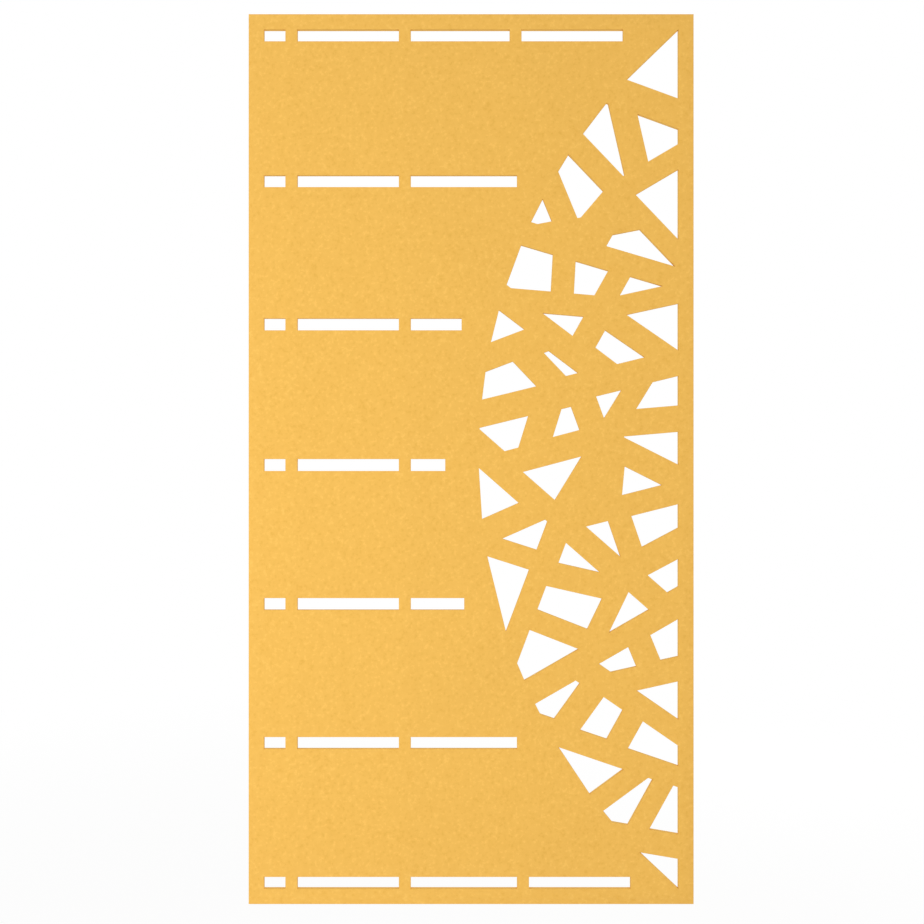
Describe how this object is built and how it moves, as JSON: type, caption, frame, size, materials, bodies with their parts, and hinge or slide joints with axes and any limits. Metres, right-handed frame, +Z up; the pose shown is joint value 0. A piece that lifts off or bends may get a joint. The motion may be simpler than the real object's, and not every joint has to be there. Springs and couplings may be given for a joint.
{
  "type": "hanging room divider",
  "caption": "Tall hanging felt room divider with rows of slots and an arc-shaped field of cut-out shards, on an aluminium rail with sliding cable grippers.",
  "frame": {"origin": "midway between the two cable lines, level with the board's top edge", "axes": "+X along the board to the right as seen from its front, +Y to the back, +Z up"},
  "size_m": [1.2, 0.03, 2.4015],
  "materials": {
    "felt": "matte",
    "anodised_aluminium": "satin",
    "zinc_steel": "satin",
    "nickel": "gloss",
    "black_plastic": "matte"
  },
  "bodies": {
    "panel": {"felt_panel": "felt", "hanging_rail": "anodised_aluminium", "rail_screws": "zinc_steel", "end_cap_left": "black_plastic", "end_cap_right": "black_plastic"},
    "hanger_left": {"slide_nut_left": "zinc_steel", "stud_left": "zinc_steel", "washer_left": "zinc_steel", "jam_nut_left": "zinc_steel", "gripper_body_left": "nickel", "return_spring_left": "zinc_steel"},
    "plunger_left": {"plunger_left": "nickel", "collet_jaws_left": "zinc_steel"},
    "hanger_right": {"slide_nut_right": "zinc_steel", "stud_right": "zinc_steel", "washer_right": "zinc_steel", "jam_nut_right": "zinc_steel", "gripper_body_right": "nickel", "return_spring_right": "zinc_steel"},
    "plunger_right": {"plunger_right": "nickel", "collet_jaws_right": "zinc_steel"}
  },
  "joints": [
    {"name": "hanger_left_slide", "type": "slide", "parent": "panel", "child": "hanger_left", "axis": [1, 0, 0], "range_m": [-0.15, 0.35]},
    {"name": "plunger_left_press", "type": "slide", "parent": "hanger_left", "child": "plunger_left", "axis": [0, 0, 1], "range_m": [-0.0018, 0], "stiffness_N_per_m": 500, "springref_m": 0.006, "deforming": ["return_spring_left"]},
    {"name": "hanger_right_slide", "type": "slide", "parent": "panel", "child": "hanger_right", "axis": [1, 0, 0], "range_m": [-0.35, 0.15]},
    {"name": "plunger_right_press", "type": "slide", "parent": "hanger_right", "child": "plunger_right", "axis": [0, 0, 1], "range_m": [-0.0018, 0], "stiffness_N_per_m": 500, "springref_m": 0.006, "deforming": ["return_spring_right"]}
  ]
}
